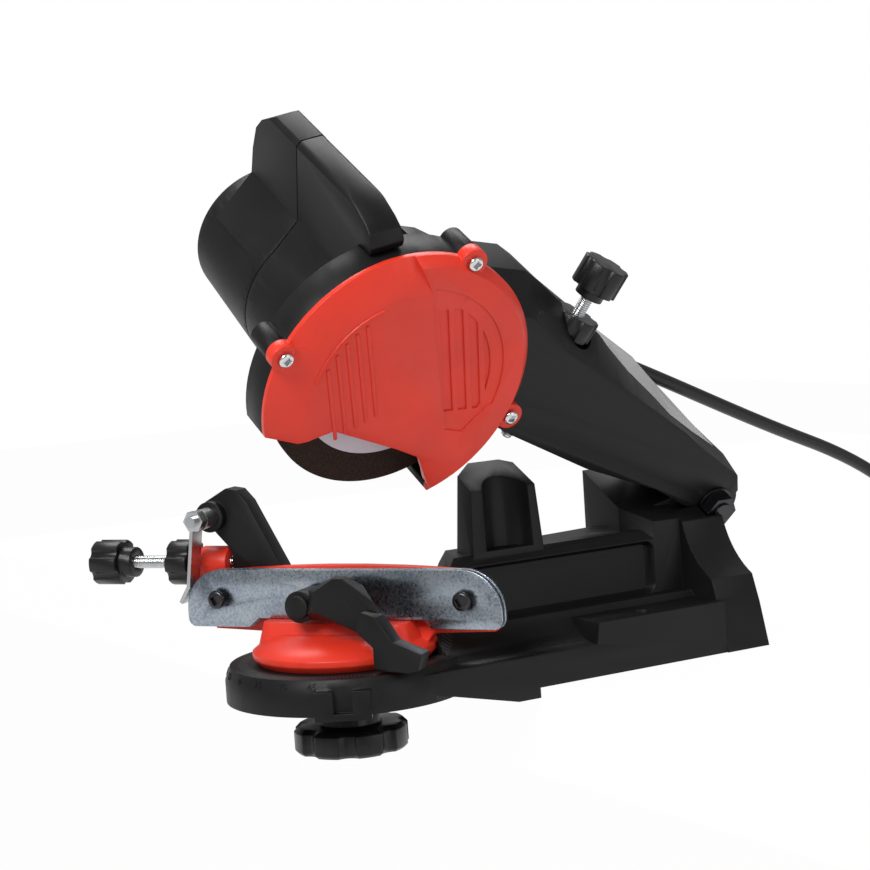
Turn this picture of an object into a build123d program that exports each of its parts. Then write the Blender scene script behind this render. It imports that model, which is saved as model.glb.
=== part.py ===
from build123d import *
import math
import os

# Bench-mounted electric chainsaw sharpener, in millimetres, +Z up.
# Origin: middle of the two bench bolts, on the underside of the base.
# X runs along the base from the chain vise (-X) to the pivot (+X), Y across it.

# ---------------------------------------------------------------- driving dimensions
# base
vise_reach = 131.0          # bench bolts to the vise's swivel axis
bolt_spacing = 86.0         # across the base
bench_bolt_hole = 8.5       # for M8
base_half_width = 52.0
base_rear = 64.0
plate_low = 14.5            # height of the bench plate in front
plate_high = 24.0           # and round the bench bolts
plate_step = -30.5
ledge_height = 27.0
ledge_half_width = 27.0
beam_half_width = 20.0
beam_height = 56.5
bench_edge = -63.5          # rear face of the lip that meets the bench's edge
lip_depth = 4.5
table_radius = 53.8
table_bottom = 2.0
table_top = 17.5
table_bevel = 6.0
knob_gap = 0.1
pad_height = 33.0           # stop pad, above the rail's top in the tilted frame
tower_x = -54.0
tower_width = 35.0
pillar_front = 14.5
pillar_top = 13.5           # in the tilted frame

# tilt of the head and of its pivot
tilt = 30.0
rail_height = 56.2

# chain vise
swivel_rest = 35.0
turntable_radius = 41.0
swivel_bolt_d = 8.0
lock_knob_radius = 25.4
lock_knob_height = 11.8
jaw_length = 154.0
jaw_top = 56.7
jaw_bottom = 30.8
jaw_end_radius = 18.0
plate_thick = 2.2
chain_gap = 1.6
jaw_wall = 5.6
rail_screw_reach = 60.0
rail_screw_z = 43.6
clamp_q = 10.6
clamp_z = 43.2
clamp_bolt_d = 8.0
lever_hub_radius = 7.0

# chain stop
stop_axis_p = 13.0
stop_axis_z = 57.8
stop_rod_d = 6.0
stop_lug_near = 61.0
stop_lug_far = 75.0
stop_knob_radius = 10.5
pawl_q = 67.1
pawl_z = 79.5
pawl_width = 9.0
pawl_bolt_d = 5.0

# head
disc_x = -130.1
disc_u = 102.45
disc_radius = 54.0
disc_thick = 3.2
disc_bore = 22.2
label_radius = 39.5
guard_room = 7.5            # from the disc's edge to the outside of the guard
guard_radius = disc_radius + guard_room
guard_wall = 2.6
guard_split = -9.0
guard_front = -16.0
guard_back = 6.0
cone_radius = 45.5          # inner end of the cover's conical band, and the depth of its rim
cone_rim = -11.4
field_radius = 47.5
field_depth = 0.7
groove_depth = 0.8
groove_wide = 4.4
rib_pitch = 6.9
motor_room = 30.5
barrel_front = 38.2         # the barrel narrows and rises a little to the rear
barrel_rear = 33.6
barrel_rise = 2.0
motor_seam = 63.0
motor_end = 119.0
handle_reach = 80.0
handle_lean = 14.0
handle_thick = 14.0
handle_bevel = 2.0
handle_foot = -4.0          # front end of the handle, over the guard's rim
shaft_d = 8.0

# arm and its pivot
pivot_x = 66.0
pivot_u = 13.0
arm_near = -8.0
arm_far = 32.0
arm_wall = 4.0
arm_end_radius = 13.5
pivot_bolt_d = 10.0
nut_height = 6.0
nut_room = 10.2
lug_radius = 13.0
cheek_gap = 0.3
spring_room = 13.0
spring_wire = 2.0

# depth stop
depth_lean = 20.0           # from the tilted vertical towards the rear
depth_x = -54.1
depth_u = 56.0
depth_w = 8.0
depth_rod_d = 6.0
depth_knob_radius = 10.5
knob_low = 78.0             # seats of the knob and the lock-nut knob, above the screw's tip
lock_low = 52.0

# lead
cord_d = 6.6
cord_w = 40.0               # how far back on the barrel it leaves
coil_radius = 42.0          # to the middle of the bundled turns
coil_wide = 18.0
coil_high = 14.4

# rotor and motor
flange_radius = 17.0
bearing_radius = 11.0
bearing_width = 7.0
armature_radius = 19.0
motor_room_front = 24.0
motor_room_back = 102.0

# clearances
run_fit = 0.05              # radial, in turning fits
slip_fit = 0.25             # round screws
part_gap = 0.3              # between neighbours that move apart

os.makedirs("parts", exist_ok=True)

# ---------------------------------------------------------------- frames
sin_t = math.sin(math.radians(tilt))
cos_t = math.cos(math.radians(tilt))
head_axis = Vector(0, cos_t, sin_t)
head_up = Vector(0, -sin_t, cos_t)
head_origin = Vector(0, 0, rail_height)


def head(w=0.0):
    """Plane square to the grinding spindle: local X along the base, local Y up the tilted head,
    extrusions grow towards the guard's front."""
    return Plane(origin=head_origin + head_axis * w, x_dir=(1, 0, 0), z_dir=-head_axis)


def head_point(x, u, w):
    return head_origin + Vector(x, 0, 0) + head_up * u + head_axis * w


sin_s = math.sin(math.radians(swivel_rest))
cos_s = math.cos(math.radians(swivel_rest))
rail_dir = Vector(-sin_s, cos_s, 0)
rail_normal = Vector(cos_s, sin_s, 0)
swivel_origin = Vector(-vise_reach, 0, 0)


def rail(p=0.0):
    """Plane along the chain rail: local X along the rail, local Y up, extrusions grow to the rear."""
    return Plane(origin=swivel_origin + rail_normal * p, x_dir=rail_dir, z_dir=rail_normal)


def across(q, p=0.0, z=0.0):
    """Plane square to the rail, extrusions grow along it."""
    return Plane(origin=rail_point(p, q, z), x_dir=-rail_normal, z_dir=rail_dir)


def rail_point(p, q, z):
    return swivel_origin + rail_normal * p + rail_dir * q + Vector(0, 0, z)


def table(z=0.0):
    return Plane(origin=swivel_origin + Vector(0, 0, z), x_dir=rail_normal, z_dir=(0, 0, 1))


def save(piece, name):
    piece.part.label = name
    export_step(piece.part, "parts/" + name + ".step")


def outline(points):
    """Closed outline through the points, as a face of the sketch in progress."""
    Polygon(*points, align=None)


def knob_sketch(radius, lobes, notch):
    """Star knob section: a round with scooped finger notches."""
    Circle(radius)
    with PolarLocations(radius + notch * 0.55, lobes, start_angle=180 / lobes):
        Circle(notch, mode=Mode.SUBTRACT)


# ---------------------------------------------------------------- base
boss_angle = math.radians(-121)
boss_plane = Plane(origin=swivel_origin, x_dir=(-math.sin(boss_angle), math.cos(boss_angle), 0),
                   z_dir=(math.cos(boss_angle), math.sin(boss_angle), 0))
lug_near = arm_near + arm_wall + cheek_gap
lug_far = arm_far - arm_wall - cheek_gap - spring_room
cove_radius = arm_end_radius + 11.1

with BuildPart() as base:
    # bench plate, seen from the side: lip for the bench's edge, ramp up to the table
    with BuildSketch(Plane.XZ):
        outline([
            (-vise_reach, table_bottom + 3), (-vise_reach + 15, table_bottom + 3),
            (bench_edge - 11.5, -lip_depth), (bench_edge, -lip_depth), (bench_edge, 0),
            (base_rear, 0), (base_rear, plate_high), (plate_step, plate_high),
            (plate_step - 1.5, plate_low), (-vise_reach, plate_low),
        ])
    extrude(amount=base_half_width, both=True)
    # hollow rise from the plate to the ledge along the beam
    with BuildSketch(Plane.YZ.offset(-vise_reach + 30)):
        with BuildLine():
            Line((0, plate_low - 3), (base_half_width - 2, plate_low - 3))
            Line((base_half_width - 2, plate_low - 3), (base_half_width - 2, plate_low))
            ThreePointArc((base_half_width - 2, plate_low), (ledge_half_width + 9, plate_low + 4),
                          (ledge_half_width, ledge_height))
            Line((ledge_half_width, ledge_height), (0, ledge_height))
            mirror(about=Plane.YZ)
        make_face()
    extrude(amount=vise_reach - 30 + base_rear - 20)
    # beam, its far side running in towards the vise
    with BuildSketch(Plane.XY.offset(plate_low - 2)):
        outline([
            (-vise_reach + 24, -beam_half_width), (base_rear, -beam_half_width),
            (base_rear, beam_half_width), (pillar_front, beam_half_width),
            (-vise_reach + 62, 9), (-vise_reach + 30, 9),
        ])
    extrude(amount=beam_height - plate_low + 2)
    beam_rims = base.edges().group_by(Axis.Z)[-1].filter_by(lambda e: e.length > 60)
    chamfer(beam_rims, length=4.5)
    # nose of the beam, sloping back and away from the swinging rail
    with BuildSketch(Plane(origin=(-vise_reach + 47, -beam_half_width, 0), x_dir=(0.915, -0.403, 0),
                           z_dir=(-0.403, -0.915, 0))):
        outline([(-80, ledge_height), (-16, ledge_height), (-3.5, beam_height - 5),
                 (0, beam_height), (0, 80), (-80, 80)])
    extrude(amount=60, both=True, mode=Mode.SUBTRACT)
    # pocket in the near side of the beam
    with BuildSketch(Plane.XZ.offset(beam_half_width)):
        with Locations((-27, 39.3)):
            RectangleRounded(104, 24.6, 5)
    extrude(amount=-4, taper=25, mode=Mode.SUBTRACT)
    # flared rear foot
    with BuildSketch(Plane.YZ.offset(base_rear)):
        with BuildLine():
            Line((0, 0), (base_half_width + 1, 0))
            Line((base_half_width + 1, 0), (47.6, 20))
            Line((47.6, 20), (43, 33))
            ThreePointArc((43, 33), (31, 43), (22.5, 60))
            Line((22.5, 60), (0, 60))
            mirror(about=Plane.YZ)
        make_face()
    extrude(amount=-24)
    # plate's sides drawn in along the foot
    with BuildSketch(Plane.YZ.offset(base_rear)):
        outline([(base_half_width + 1, 0), (47.6, 20), (46.2, plate_high), (46.2, plate_high + 5),
                 (base_half_width + 8, plate_high + 5), (base_half_width + 8, 0)])
        mirror(about=Plane.YZ)
    extrude(amount=-24, mode=Mode.SUBTRACT)
    # rear pillar, cut off under the tilted arm
    with BuildSketch(Plane.XY.offset(plate_high)):
        outline([
            (pillar_front, beam_half_width), (pillar_front, -8), (pillar_front + 11, -beam_half_width),
            (base_rear, -beam_half_width - 1), (base_rear, beam_half_width + 1),
        ])
    extrude(amount=76)
    with BuildSketch(head(60)):
        with Locations((40, pillar_top + 40)):
            Rectangle(80, 80)
    extrude(amount=120, mode=Mode.SUBTRACT)
    # room for the arm's swinging end behind the foot's ridge, and for the pivot's nut
    with BuildSketch(head(60)):
        with Locations((pivot_x, pivot_u)):
            Circle(cove_radius)
    extrude(amount=60 - arm_near + 2 * part_gap, mode=Mode.SUBTRACT)
    with BuildSketch(head(arm_near)):
        with Locations((pivot_x, pivot_u)):
            Circle(nut_room)
    extrude(amount=nut_height + 3, mode=Mode.SUBTRACT)
    # pivot lug between the arm's cheeks
    with BuildSketch(head(lug_far)):
        with Locations((pivot_x, pivot_u)):
            Circle(lug_radius)
        outline([
            (pivot_x - 40, pivot_u - 2), (pivot_x - 9, pivot_u + 9), (pivot_x + 11, pivot_u - 6),
            (pivot_x + 4, pivot_u - 30), (pivot_x - 40, pivot_u - 30),
        ])
    extrude(amount=lug_far - lug_near)
    with BuildSketch(head(lug_far)):
        with Locations((pivot_x, pivot_u)):
            Circle(pivot_bolt_d / 2 + run_fit)
    extrude(amount=lug_far - lug_near, mode=Mode.SUBTRACT)
    # stop tower
    with BuildSketch(Plane.XY.offset(beam_height - 2)):
        outline([
            (tower_x - tower_width / 2 - 1.5, -beam_half_width + 2),
            (tower_x + tower_width / 2 + 1.5, -beam_half_width + 2),
            (tower_x + tower_width / 2 + 1, 1), (tower_x + 11, 5), (tower_x - 7, 5),
            (tower_x - tower_width / 2 - 1.5, -4),
        ])
    extrude(amount=46, taper=3.4)
    with BuildSketch(head(60)):
        with Locations((tower_x, pad_height + 20)):
            Rectangle(tower_width + 12, 40)
    extrude(amount=90, mode=Mode.SUBTRACT)
    # scooped face of the tower
    with BuildSketch(Plane.XY.offset(beam_height + 1)):
        with Locations((tower_x + 1, -beam_half_width - 1)):
            Circle(13)
    extrude(amount=50, mode=Mode.SUBTRACT)
    # round table of the vise
    with BuildSketch(table(table_bottom)):
        Circle(table_radius)
    extrude(amount=table_top - table_bevel - table_bottom)
    with BuildSketch(table(table_top - table_bevel)):
        Circle(table_radius)
    extrude(amount=table_bevel, taper=21)
    # pointer boss at the table's rim
    with BuildSketch(boss_plane.offset(table_radius - 6)):
        with Locations((0, table_top / 2 - 2)):
            Rectangle(24, table_top - 5)
    extrude(amount=8)
    with BuildSketch(boss_plane.offset(table_radius - 1)):
        with Locations((0, table_top - 7)):
            Rectangle(8, 14)
    extrude(amount=6, mode=Mode.SUBTRACT)
    # round clearance for the turntable, and the swivel bolt's hole
    with BuildSketch(table(table_top)):
        Circle(turntable_radius + 1.2)
    extrude(amount=60, mode=Mode.SUBTRACT)
    with BuildSketch(table(-10)):
        Circle(swivel_bolt_d / 2 + run_fit)
    extrude(amount=40, mode=Mode.SUBTRACT)
    # bench bolt holes
    with BuildSketch(Plane.XY.offset(-1)):
        with GridLocations(0, bolt_spacing, 1, 2):
            Circle(bench_bolt_hole / 2)
    extrude(amount=plate_high + 2, mode=Mode.SUBTRACT)
save(base, "base_frame")

# spacer sleeve and return spring beside the lug
with BuildPart() as pivot_sleeve:
    with BuildSketch(head(lug_far + spring_room)):
        with Locations((pivot_x, pivot_u)):
            Circle(8)
            Circle(pivot_bolt_d / 2 + run_fit, mode=Mode.SUBTRACT)
    extrude(amount=spring_room)
save(pivot_sleeve, "pivot_sleeve")

spring_radius = 8 + part_gap + spring_wire / 2
spring_turns = 4
spring_height = spring_room - spring_wire - 0.2
spring_foot = head_point(pivot_x, pivot_u, lug_far + spring_wire / 2 + 0.1)
with BuildPart() as return_spring:
    with BuildLine() as turns_line:
        Helix(pitch=spring_height / spring_turns, height=spring_height, radius=spring_radius,
              center=tuple(spring_foot), direction=tuple(head_axis))
    with BuildSketch(turns_line.edge() ^ 0):
        RegularPolygon(spring_wire / 2, 6)
    sweep(path=turns_line.edge(), is_frenet=True)
save(return_spring, "return_spring")

# pivot bolt through cheeks and lug, its nut and the washers under both
head_seat = arm_far + 1.5
nut_seat = arm_near - 1.5
with BuildPart() as pivot_bolt:
    with BuildSketch(head(head_seat + 5.5)):
        with Locations((pivot_x, pivot_u)):
            RegularPolygon(8.5, 6)
    extrude(amount=5.5)
    with BuildSketch(head(head_seat)):
        with Locations((pivot_x, pivot_u)):
            Circle(pivot_bolt_d / 2)
    extrude(amount=head_seat - nut_seat + nut_height + 1)
save(pivot_bolt, "pivot_bolt")

with BuildPart() as pivot_washer_near:
    with BuildSketch(head(arm_near)):
        with Locations((pivot_x, pivot_u)):
            Circle(9.5)
            Circle(pivot_bolt_d / 2 + slip_fit, mode=Mode.SUBTRACT)
    extrude(amount=1.5)
save(pivot_washer_near, "pivot_washer_near")

with BuildPart() as pivot_washer_far:
    with BuildSketch(head(arm_far + 1.5)):
        with Locations((pivot_x, pivot_u)):
            Circle(9.5)
            Circle(pivot_bolt_d / 2 + slip_fit, mode=Mode.SUBTRACT)
    extrude(amount=1.5)
save(pivot_washer_far, "pivot_washer_far")

with BuildPart() as pivot_nut:
    with BuildSketch(head(nut_seat)):
        with Locations((pivot_x, pivot_u)):
            RegularPolygon(8.5, 6)
            Circle(pivot_bolt_d / 2, mode=Mode.SUBTRACT)
    extrude(amount=nut_height)
save(pivot_nut, "pivot_nut")

# ---------------------------------------------------------------- swivel vise
stem_top = jaw_bottom + 3.6
jaw_back = chain_gap / 2 + plate_thick
jaw_rear = jaw_back + jaw_wall

with BuildPart() as vise_body:
    # turntable
    with BuildSketch(Plane(origin=swivel_origin, x_dir=(1, 0, 0), z_dir=(0, -1, 0))):
        with BuildLine():
            Polyline((0, table_top + knob_gap), (turntable_radius - 2.5, table_top + knob_gap),
                     (turntable_radius, table_top + 3), (turntable_radius, table_top + 5.5),
                     (turntable_radius - 4, table_top + 8.5), (27, table_top + 12), (0, table_top + 12),
                     close=True)
        make_face()
    revolve(axis=Axis((-vise_reach, 0, 0), (0, 0, 1)), revolution_arc=360)
    # stem under the rail plates
    with BuildSketch(table(table_top + 2)):
        with Locations((1.5, 1)):
            RectangleRounded(34, 78, 9)
    extrude(amount=stem_top - table_top - 2, taper=16)
    # rear jaw
    with BuildSketch(rail(jaw_back)):
        with BuildLine():
            Line((70, 38), (58, 55.5))
            ThreePointArc((58, 55.5), (0, 57.8), (-58, 55.5))
            Line((-58, 55.5), (-73.5, 38))
            Polyline((-73.5, 38), (-71, 29), (-42, 28), (-37, 22), (37, 22), (42, 28), (66, 29), (70, 38))
        make_face()
    extrude(amount=jaw_wall)
    # ledge that guides the chain stop, and the lug of its screw
    with BuildSketch(rail(jaw_rear)):
        with Locations((48, 40.5)):
            Rectangle(40, 7)
    extrude(amount=10)
    with BuildSketch(across(stop_lug_near, stop_axis_p, stop_axis_z)):
        Circle(7.4)
        with Locations((-0.2, -9)):
            Rectangle(14.2, 18)
    extrude(amount=stop_lug_far - stop_lug_near)
    with BuildSketch(across(stop_lug_near - 1, stop_axis_p, stop_axis_z)):
        Circle(stop_rod_d / 2 + run_fit)
    extrude(amount=stop_lug_far - stop_lug_near + 2, mode=Mode.SUBTRACT)
    # holes: swivel bolt, clamp bolt, rail screws
    with BuildSketch(table(table_top - 1)):
        Circle(swivel_bolt_d / 2)
    extrude(amount=8, mode=Mode.SUBTRACT)
    with BuildSketch(rail(jaw_back - 1)):
        with Locations((clamp_q, clamp_z)):
            Circle(clamp_bolt_d / 2)
        with Locations((-rail_screw_reach, rail_screw_z), (rail_screw_reach, rail_screw_z)):
            Circle(2.5)
    extrude(amount=jaw_wall + 14, mode=Mode.SUBTRACT)
save(vise_body, "vise_body")


half = jaw_length / 2
for name, p in (("rail_plate_rear", chain_gap / 2), ("rail_plate_front", -chain_gap / 2 - plate_thick)):
    with BuildPart() as rail_plate:
        # large round top corners, notch over the turntable's stem
        with BuildSketch(rail(p)):
            with BuildLine():
                Line((-half + jaw_end_radius, jaw_top), (half - jaw_end_radius, jaw_top))
                RadiusArc((half - jaw_end_radius, jaw_top), (half, jaw_top - jaw_end_radius), jaw_end_radius)
                Line((half, jaw_top - jaw_end_radius), (half, jaw_bottom + 4))
                RadiusArc((half, jaw_bottom + 4), (half - 4, jaw_bottom), 4)
                Polyline((half - 4, jaw_bottom), (45.6, jaw_bottom), (40.7, stem_top + part_gap),
                         (-40, stem_top + part_gap), (-43.4, jaw_bottom), (-half + 4, jaw_bottom))
                RadiusArc((-half + 4, jaw_bottom), (-half, jaw_bottom + 4), 4)
                Line((-half, jaw_bottom + 4), (-half, jaw_top - jaw_end_radius))
                RadiusArc((-half, jaw_top - jaw_end_radius), (-half + jaw_end_radius, jaw_top),
                          jaw_end_radius)
            make_face()
            with Locations((clamp_q, clamp_z)):
                Circle(clamp_bolt_d / 2 + slip_fit, mode=Mode.SUBTRACT)
            with Locations((-rail_screw_reach, rail_screw_z), (rail_screw_reach, rail_screw_z)):
                Circle(2.5 + slip_fit, mode=Mode.SUBTRACT)
        extrude(amount=plate_thick)
    save(rail_plate, name)

plate_front = chain_gap / 2 + plate_thick
plate_travel = 1.5

for name, q in (("rail_screw_left", rail_screw_reach), ("rail_screw_right", -rail_screw_reach)):
    with BuildPart() as rail_screw:
        with BuildSketch(rail(-plate_front - plate_travel - part_gap)):
            with Locations((q, rail_screw_z)):
                Circle(4.2)
        extrude(amount=-2.6)
        fillet(rail_screw.edges().sort_by(Axis((0, 0, 0), tuple(rail_normal)))[0], radius=1.6)
        with BuildSketch(rail(-plate_front - plate_travel - part_gap)):
            with Locations((q, rail_screw_z)):
                Circle(2.5)
        extrude(amount=plate_front + plate_travel + part_gap + jaw_rear)
    save(rail_screw, name)

with BuildPart() as clamp_bolt:
    with BuildSketch(rail(-14)):
        with Locations((clamp_q, clamp_z)):
            Circle(clamp_bolt_d / 2)
    extrude(amount=14 + jaw_rear)
    with BuildSketch(rail(jaw_rear)):
        with Locations((clamp_q, clamp_z)):
            RegularPolygon(7.5, 6)
    extrude(amount=5.5)
save(clamp_bolt, "clamp_bolt")

hub_back = -(plate_front + plate_travel + part_gap)
with BuildPart() as clamp_lever:
    with BuildSketch(rail(-21)):
        with Locations((clamp_q, clamp_z)):
            Circle(lever_hub_radius)
    extrude(amount=21 + hub_back)
    # cranked arm running out and down to the paddle
    with BuildSketch(rail(-15)):
        outline([(clamp_q - 2, clamp_z + 6.6), (clamp_q + 3, clamp_z - 6.2), (2, 36.5), (-12, 35),
                 (-22, 40), (-18, 52), (-10, 56), (-5, 56)])
    with BuildSketch(rail(-29)):
        outline([(-1, 51), (0, 43), (-14, 37), (-31.7, 29), (-38, 34), (-29.2, 47.6), (-15.3, 57),
                 (-10.6, 57)])
    loft(ruled=True)
    with BuildSketch(rail(-37)):
        outline([(-24, 36), (-31.7, 29), (-31.7, 19.8), (-47.1, 18.4), (-52, 19.6), (-54, 26.5),
                 (-41, 31.4), (-34, 42), (-27, 44)])
    extrude(amount=8.5)
    with BuildSketch(rail(-14.2)):
        with Locations((clamp_q, clamp_z)):
            Circle(clamp_bolt_d / 2 + run_fit)
    extrude(amount=14.2, mode=Mode.SUBTRACT)
    with BuildSketch(rail(-40)):
        with Locations((clamp_q, clamp_z)):
            Circle(5.2)
    extrude(amount=40 - 21, mode=Mode.SUBTRACT)
save(clamp_lever, "clamp_lever")

with BuildPart() as lever_cap:
    with BuildSketch(rail(-23)):
        with Locations((clamp_q, clamp_z)):
            Circle(5.2)
    extrude(amount=2)
save(lever_cap, "lever_cap")

with BuildPart() as swivel_bolt:
    with BuildSketch(table(-20)):
        Circle(swivel_bolt_d / 2)
    extrude(amount=20 + table_top + 7)
save(swivel_bolt, "swivel_bolt")

knob_top = table_bottom - part_gap
with BuildPart() as lock_washer:
    with BuildSketch(table(knob_top - 1.6)):
        Circle(13)
        Circle(swivel_bolt_d / 2 + slip_fit, mode=Mode.SUBTRACT)
    extrude(amount=1.6)
save(lock_washer, "swivel_washer")

with BuildPart() as lock_knob:
    with BuildSketch(table(-11.5 - lock_knob_height)):
        knob_sketch(lock_knob_radius, 8, 5)
    extrude(amount=lock_knob_height)
    chamfer(lock_knob.edges().group_by(Axis.Z)[0], length=1.5)
    chamfer(lock_knob.edges().group_by(Axis.Z)[-1], length=2)
    with BuildSketch(table(-11.6)):
        Circle(14)
    extrude(amount=11.6 + knob_top - 1.6)
    with BuildSketch(table(-20)):
        Circle(swivel_bolt_d / 2 + run_fit)
    extrude(amount=30, mode=Mode.SUBTRACT)
save(lock_knob, "swivel_lock_knob")

# ---------------------------------------------------------------- chain stop
stop_front = jaw_rear + part_gap
stop_back = stop_axis_p + 5
foot_bottom = 44.0 + part_gap
with BuildPart() as stop_arm:
    with BuildSketch(rail(stop_front)):
        outline([(33.8, foot_bottom), (33.8, foot_bottom + 11.7), (pawl_q - 17.3, pawl_z + 6.5),
                 (pawl_q - 12.5, pawl_z + 11.7), (pawl_q - 7.1, pawl_z + 12.5), (pawl_q + 3.9, pawl_z + 6.5),
                 (pawl_q + 0.5, pawl_z - 6.5), (pawl_q - 7.1, pawl_z - 14.5), (58.6, stop_axis_z + 3.7),
                 (58.6, foot_bottom)])
    extrude(amount=stop_back - stop_front)
    with BuildSketch(rail(pawl_width / 2)):
        with Locations((pawl_q, pawl_z)):
            Circle(7)
    extrude(amount=stop_back - pawl_width / 2)
    with BuildSketch(rail(pawl_width / 2)):
        with Locations((pawl_q, pawl_z)):
            Circle(pawl_bolt_d / 2)
    extrude(amount=stop_back - pawl_width / 2, mode=Mode.SUBTRACT)
save(stop_arm, "stop_arm")

with BuildPart() as pawl_bolt:
    with BuildSketch(rail(-pawl_width / 2 - 8)):
        with Locations((pawl_q, pawl_z)):
            Circle(pawl_bolt_d / 2)
    extrude(amount=pawl_width / 2 + 8 + stop_back)
    with BuildSketch(rail(stop_back)):
        with Locations((pawl_q, pawl_z)):
            RegularPolygon(4.6, 6)
    extrude(amount=3.5)
save(pawl_bolt, "pawl_bolt")

with BuildPart() as pawl_nut:
    with BuildSketch(rail(-pawl_width / 2 - 5.4)):
        with Locations((pawl_q, pawl_z)):
            RegularPolygon(5, 6)
            Circle(pawl_bolt_d / 2, mode=Mode.SUBTRACT)
    extrude(amount=5)
save(pawl_nut, "pawl_nut")

with BuildPart() as pawl:
    with BuildSketch(rail(-pawl_width / 2 + 0.1)):
        with Locations((pawl_q, pawl_z)):
            Circle(4.6)
        outline([(pawl_q + 4.55, pawl_z), (pawl_q + 2.9, pawl_z), (pawl_q + 7.3, pawl_z - 30.9),
                 (pawl_q + 11.9, pawl_z - 38.3), (pawl_q + 13.3, pawl_z - 37.4),
                 (pawl_q + 8.9, pawl_z - 30.3)])
        with Locations((pawl_q, pawl_z)):
            Circle(pawl_bolt_d / 2 + run_fit, mode=Mode.SUBTRACT)
    extrude(amount=pawl_width - 0.2)
save(pawl, "chain_pawl")

with BuildPart() as stop_rod:
    with BuildSketch(across(58.6, stop_axis_p, stop_axis_z)):
        Circle(stop_rod_d / 2)
    extrude(amount=64)
save(stop_rod, "stop_screw")

with BuildPart() as stop_knob:
    with BuildSketch(across(118, stop_axis_p, stop_axis_z)):
        knob_sketch(stop_knob_radius, 6, 3)
    extrude(amount=14)
    with BuildSketch(across(112, stop_axis_p, stop_axis_z)):
        Circle(7)
    extrude(amount=6)
    with BuildSketch(across(111, stop_axis_p, stop_axis_z)):
        Circle(stop_rod_d / 2 + run_fit)
    extrude(amount=58.6 + 64 - 111, mode=Mode.SUBTRACT)
save(stop_knob, "stop_knob")

lock_face = stop_lug_far + part_gap
with BuildPart() as stop_lock:
    with BuildSketch(across(lock_face + 5, stop_axis_p, stop_axis_z)):
        knob_sketch(stop_knob_radius, 6, 3)
    extrude(amount=11)
    with BuildSketch(across(lock_face, stop_axis_p, stop_axis_z)):
        Circle(7)
    extrude(amount=5)
    with BuildSketch(across(lock_face - 1, stop_axis_p, stop_axis_z)):
        Circle(stop_rod_d / 2 + run_fit)
    extrude(amount=20, mode=Mode.SUBTRACT)
save(stop_lock, "stop_lock_knob")

# ---------------------------------------------------------------- arm with the guard's back shell
arm_full = [
    (-99.5, 147), (-66, 141.3), (-58, 136), (-43, 124), (-18, 106.2), (-8, 96), (7, 82),
    (26, 66.5), (38, 56), (53, 45.8), (78, 30),
]
arm_low = [(84, 5), (70, -6.5), (62, -6.5), (50.9, 12.9), (27.9, 26.4), (-17, 44), (-64.4, 68.1), (-101, 90)]
arm_tip = [(pivot_x + arm_end_radius - 0.3, pivot_u + 6), (pivot_x + 4, pivot_u - arm_end_radius + 1.5),
           (pivot_x - 4, pivot_u - arm_end_radius + 1.5)]
arm_facet = [
    (-101, 139), (-66, 126), (-60, 120), (-45, 108), (-24, 95.5), (-10, 87), (2, 79),
    (16, 70), (37, 56), (51, 45), (76, 28),
]
opening = [
    (-230, 83.6), (-188.6, 83.6), (-174.8, 81), (-166.6, 83.9), (-159.6, 86), (-126.8, 73.1),
    (-115.1, 67.6), (-107.6, 53.8), (-104.2, 49.7), (-104.2, 20), (-230, 20),
]


depth_angle = math.radians(depth_lean)
depth_dir = Vector(math.sin(depth_angle), 0, 0) + head_up * math.cos(depth_angle)


def depth_plane(reach):
    """Plane square to the depth screw, reach above its tip; extrusions grow up the screw."""
    tip = head_point(depth_x, depth_u, depth_w)
    return Plane(origin=tip + depth_dir * reach, x_dir=tuple(head_axis), z_dir=tuple(depth_dir))


boss_angles = (-19.0, 70.0, 161.0)
boss_radius = 6.0
boss_height = 5.5
boss_places = [(disc_x + guard_radius * math.cos(math.radians(a)),
                disc_u + guard_radius * math.sin(math.radians(a))) for a in boss_angles]


def pivot_round():
    with Locations((pivot_x, pivot_u)):
        Circle(arm_end_radius)


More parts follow.
